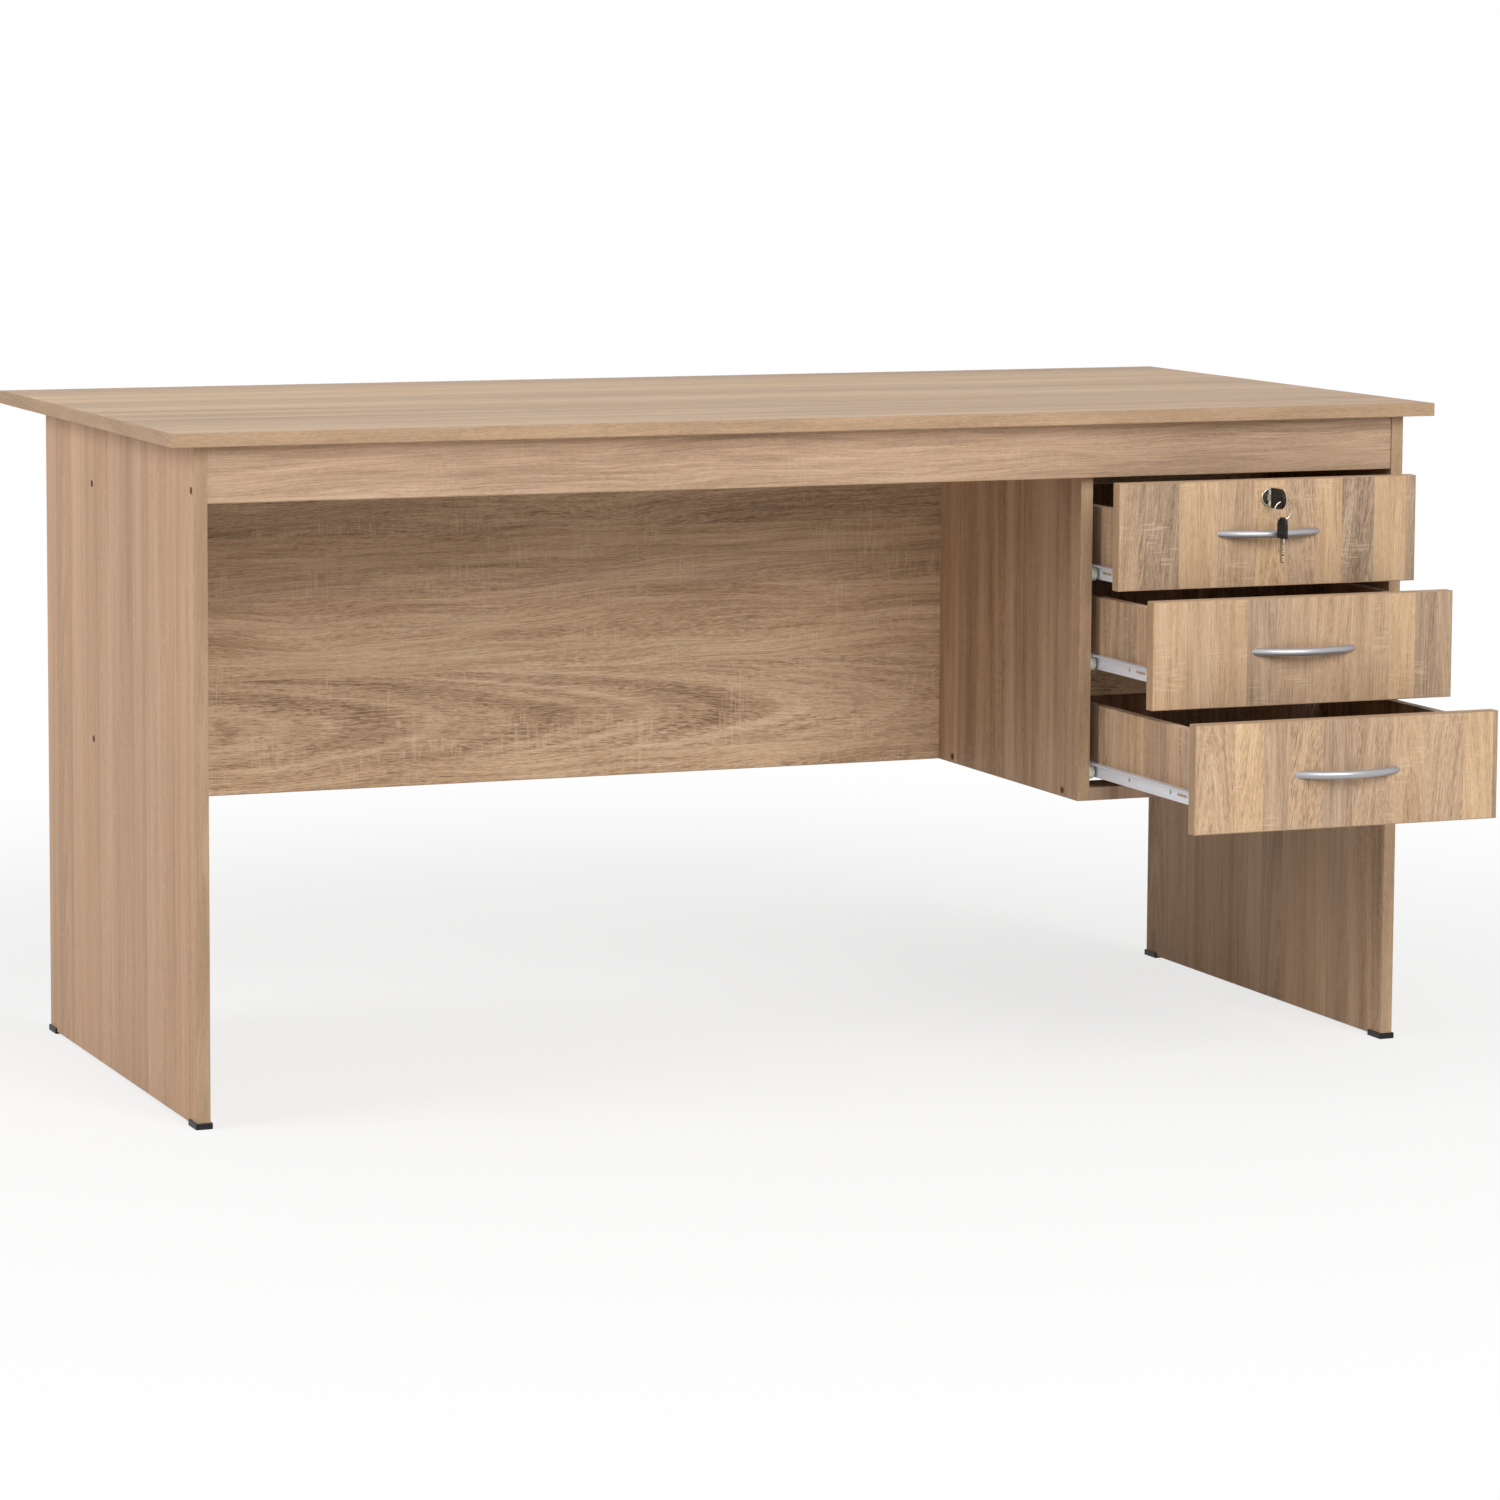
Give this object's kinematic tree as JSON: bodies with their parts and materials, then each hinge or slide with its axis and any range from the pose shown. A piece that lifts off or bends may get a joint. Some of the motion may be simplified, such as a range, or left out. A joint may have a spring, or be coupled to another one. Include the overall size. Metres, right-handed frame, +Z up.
{
  "type": "office desk",
  "caption": "Panel-built office desk in oak-print board with a modesty panel and a hanging lockable drawer pedestal on roller runners.",
  "frame": {"origin": "on the floor, under the middle of the worktop's outline", "axes": "+X to the sitter's right along the desk, +Y away from the sitter to the back, +Z up"},
  "size_m": [1.52, 0.9818, 0.75],
  "materials": {
    "oak_board": "printed oak-grain melamine, fine matt texture",
    "oak_edge": "printed oak edge strip, matt",
    "hardboard": "thin pressed fibre sheet, smooth",
    "beech_dowel": "turned beech",
    "white_steel": "white epoxy powder coat",
    "nylon": "moulded nylon",
    "satin_metal": "satin silver",
    "nickel": "polished nickel plate",
    "zinc_steel": "zinc plated",
    "black_plastic": "moulded black plastic",
    "brown_plastic": "brown screw caps"
  },
  "bodies": {
    "desk": {"desktop_board": "oak_board", "desk_edging": "oak_edge", "left_end_panel": "oak_board", "right_end_panel": "oak_board", "front_rail": "oak_board", "modesty_panel": "oak_board", "pedestal_side_panel": "oak_board", "pedestal_rails": "oak_board", "left_feet": "black_plastic", "right_feet": "black_plastic", "panel_screws": "zinc_steel", "screw_caps": "brown_plastic", "dowels": "beech_dowel", "corner_brackets": "zinc_steel", "top_cabinet_runners": "white_steel", "middle_cabinet_runners": "white_steel", "bottom_cabinet_runners": "white_steel"},
    "top_drawer": {"top_drawer_front": "oak_board", "top_front_edging": "oak_edge", "top_drawer_left_side": "oak_board", "top_drawer_right_side": "oak_board", "top_drawer_back": "oak_board", "top_drawer_bottom": "hardboard", "top_drawer_runners": "white_steel", "top_handle": "satin_metal", "top_drawer_fasteners": "zinc_steel", "lock_case": "nickel", "lock_rosette": "nickel"},
    "top_cabinet_rollers": {"top_cabinet_rollers": "nylon"},
    "top_drawer_rollers": {"top_drawer_rollers": "nylon"},
    "middle_drawer": {"middle_drawer_front": "oak_board", "middle_front_edging": "oak_edge", "middle_drawer_left_side": "oak_board", "middle_drawer_right_side": "oak_board", "middle_drawer_back": "oak_board", "middle_drawer_bottom": "hardboard", "middle_drawer_runners": "white_steel", "middle_handle": "satin_metal", "middle_drawer_fasteners": "zinc_steel"},
    "middle_cabinet_rollers": {"middle_cabinet_rollers": "nylon"},
    "middle_drawer_rollers": {"middle_drawer_rollers": "nylon"},
    "bottom_drawer": {"bottom_drawer_front": "oak_board", "bottom_front_edging": "oak_edge", "bottom_drawer_left_side": "oak_board", "bottom_drawer_right_side": "oak_board", "bottom_drawer_back": "oak_board", "bottom_drawer_bottom": "hardboard", "bottom_drawer_runners": "white_steel", "bottom_handle": "satin_metal", "bottom_drawer_fasteners": "zinc_steel"},
    "bottom_cabinet_rollers": {"bottom_cabinet_rollers": "nylon"},
    "bottom_drawer_rollers": {"bottom_drawer_rollers": "nylon"},
    "lock_core": {"lock_plug": "nickel", "key_blade": "nickel", "key_bow": "black_plastic"},
    "lock_bolt": {"lock_bolt": "zinc_steel"},
    "key_ring": {"key_ring": "nickel"},
    "spare_key": {"spare_key_blade": "nickel", "spare_key_bow": "black_plastic"}
  },
  "joints": [
    {"name": "top_drawer_slide", "type": "slide", "parent": "desk", "child": "top_drawer", "axis": [0, -1, 0], "range_m": [-0.06405, 0.19795]},
    {"name": "top_cabinet_roller_spin", "type": "hinge", "parent": "desk", "child": "top_cabinet_rollers", "pos_m": [0.5215, -0.3135, 0.5608], "axis": [1, 0, 0], "range_deg": [-437, 1340]},
    {"name": "top_drawer_roller_spin", "type": "hinge", "parent": "top_drawer", "child": "top_drawer_rollers", "pos_m": [0.5215, -0.05055, 0.5623], "axis": [1, 0, 0], "range_deg": [-437, 1340]},
    {"name": "middle_drawer_slide", "type": "slide", "parent": "desk", "child": "middle_drawer", "axis": [0, -1, 0], "range_m": [-0.1519, 0.1101]},
    {"name": "middle_cabinet_roller_spin", "type": "hinge", "parent": "desk", "child": "middle_cabinet_rollers", "pos_m": [0.5215, -0.3135, 0.4573], "axis": [1, 0, 0], "range_deg": [-1029, 748]},
    {"name": "middle_drawer_roller_spin", "type": "hinge", "parent": "middle_drawer", "child": "middle_drawer_rollers", "pos_m": [0.5215, -0.1384, 0.4588], "axis": [1, 0, 0], "range_deg": [-1029, 748]},
    {"name": "bottom_drawer_slide", "type": "slide", "parent": "desk", "child": "bottom_drawer", "axis": [0, -1, 0], "range_m": [-0.2569, 0.0051]},
    {"name": "bottom_cabinet_roller_spin", "type": "hinge", "parent": "desk", "child": "bottom_cabinet_rollers", "pos_m": [0.5215, -0.3135, 0.3323], "axis": [1, 0, 0], "range_deg": [-1737, 40]},
    {"name": "bottom_drawer_roller_spin", "type": "hinge", "parent": "bottom_drawer", "child": "bottom_drawer_rollers", "pos_m": [0.5215, -0.2434, 0.3338], "axis": [1, 0, 0], "range_deg": [-1737, 40]},
    {"name": "key_turn", "type": "hinge", "parent": "top_drawer", "child": "lock_core", "pos_m": [0.5215, -0.40555, 0.6504], "axis": [0, -1, 0], "range_deg": [-1, 91]},
    {"name": "lock_bolt_slide", "type": "slide", "parent": "top_drawer", "child": "lock_bolt", "axis": [0, 0, 1], "range_m": [0, 0.00905]},
    {"name": "key_ring_swing", "type": "hinge", "parent": "lock_core", "child": "key_ring", "pos_m": [0.5215, -0.43805, 0.6484], "axis": [-1, 0, 0], "range_deg": [0, 60]},
    {"name": "spare_key_swing", "type": "hinge", "parent": "key_ring", "child": "spare_key", "pos_m": [0.5215, -0.43805, 0.6274], "axis": [-1, 0, 0], "range_deg": [0, 45]}
  ],
  "couplings": [
    {"joint": "top_cabinet_roller_spin", "follows": "top_drawer_slide", "rad_per_m": 117.65},
    {"joint": "top_drawer_roller_spin", "follows": "top_drawer_slide", "rad_per_m": 117.65},
    {"joint": "middle_cabinet_roller_spin", "follows": "middle_drawer_slide", "rad_per_m": 117.65},
    {"joint": "middle_drawer_roller_spin", "follows": "middle_drawer_slide", "rad_per_m": 117.65},
    {"joint": "bottom_cabinet_roller_spin", "follows": "bottom_drawer_slide", "rad_per_m": 117.65},
    {"joint": "bottom_drawer_roller_spin", "follows": "bottom_drawer_slide", "rad_per_m": 117.65},
    {"joint": "key_turn", "follows": "lock_bolt_slide", "rad_per_m": 173.55}
  ]
}
